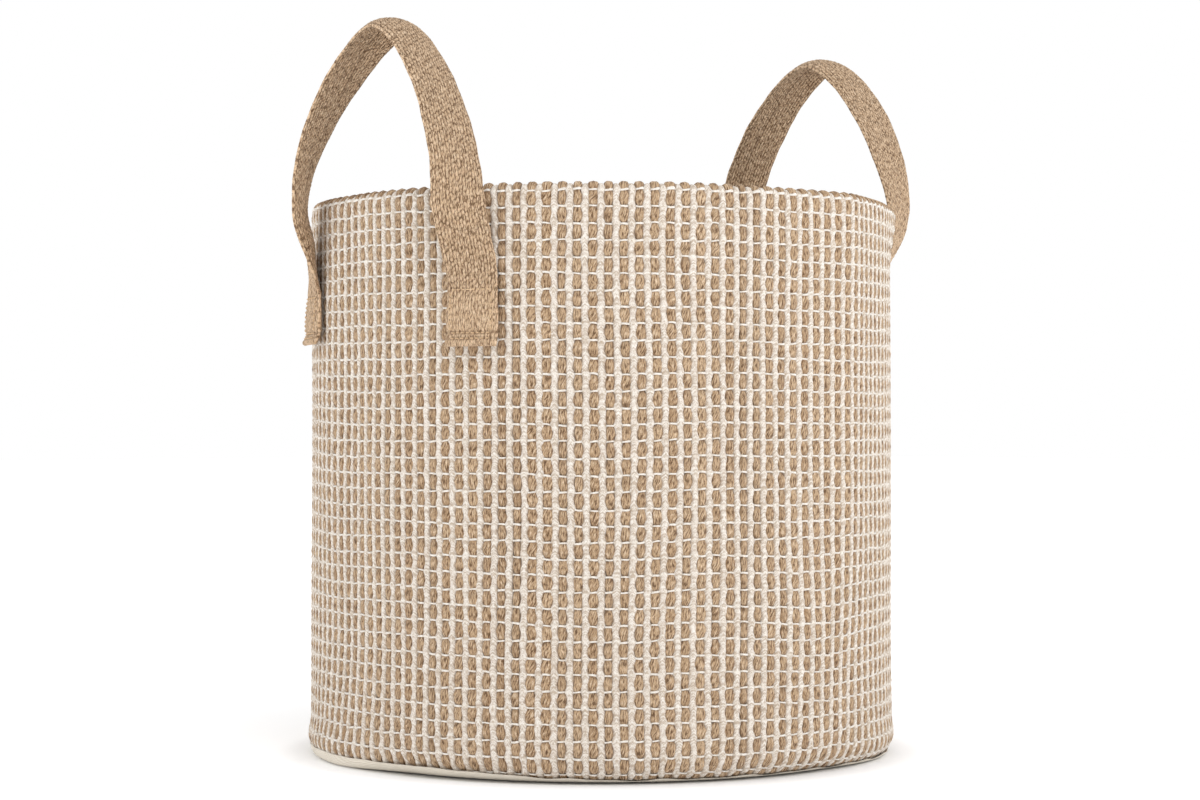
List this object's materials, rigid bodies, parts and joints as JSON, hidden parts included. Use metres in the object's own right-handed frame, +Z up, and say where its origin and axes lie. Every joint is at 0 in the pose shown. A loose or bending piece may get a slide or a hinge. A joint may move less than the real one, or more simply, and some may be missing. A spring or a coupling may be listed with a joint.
{
  "type": "fabric storage bin",
  "caption": "Round woven jute and cotton storage bin, open at the top, with two upright webbing handles sewn to its outside.",
  "frame": {"origin": "centre of the base, on the floor", "axes": "+Z up; the left handle stands on the -X side and the right handle near the +X side, 7.5 degrees towards -Y"},
  "size_m": [0.441, 0.4, 0.4915],
  "materials": {
    "woven_jute": "rough natural fibre cords between cream cotton yarns",
    "cream_canvas": "matt cotton canvas",
    "jute_webbing": "coarse plain jute webbing",
    "sewing_thread": "waxed natural thread"
  },
  "bodies": {
    "basket": {"wall_panel": "woven_jute", "base_panel": "cream_canvas", "base_band": "cream_canvas", "side_seam_tape": "cream_canvas", "side_seam_stitching": "sewing_thread", "hem_stitching": "sewing_thread", "base_stitching": "sewing_thread", "left_front_strap_end": "jute_webbing", "left_rear_strap_end": "jute_webbing", "right_front_strap_end": "jute_webbing", "right_rear_strap_end": "jute_webbing", "left_front_box_stitching": "sewing_thread", "left_rear_box_stitching": "sewing_thread", "right_front_box_stitching": "sewing_thread", "right_rear_box_stitching": "sewing_thread"},
    "left_legs": {"left_front_strap_leg": "jute_webbing", "left_rear_strap_leg": "jute_webbing"},
    "left_loop": {"left_handle_loop": "jute_webbing"},
    "right_legs": {"right_front_strap_leg": "jute_webbing", "right_rear_strap_leg": "jute_webbing"},
    "right_loop": {"right_handle_loop": "jute_webbing"}
  },
  "joints": [
    {"name": "left_handle_fold_out", "type": "hinge", "parent": "basket", "child": "left_legs", "pos_m": [-0.1943, 0, 0.3122], "axis": [-0.0262, -0.9997, 0], "range_deg": [0, 150], "stiffness_Nm_per_rad": 0.2},
    {"name": "left_handle_fold_in", "type": "hinge", "parent": "left_legs", "child": "left_loop", "pos_m": [-0.179, 0, 0.3735], "axis": [0, 1, 0], "range_deg": [0, 75], "stiffness_Nm_per_rad": 0.12},
    {"name": "right_handle_fold_out", "type": "hinge", "parent": "basket", "child": "right_legs", "pos_m": [0.19482, -0.02565, 0.3122], "axis": [0.1305, 0.9914, 0], "range_deg": [0, 150], "stiffness_Nm_per_rad": 0.2},
    {"name": "right_handle_fold_in", "type": "hinge", "parent": "right_legs", "child": "right_loop", "pos_m": [0.17747, -0.02336, 0.3735], "axis": [-0.1305, -0.9914, 0], "range_deg": [0, 75], "stiffness_Nm_per_rad": 0.12}
  ]
}
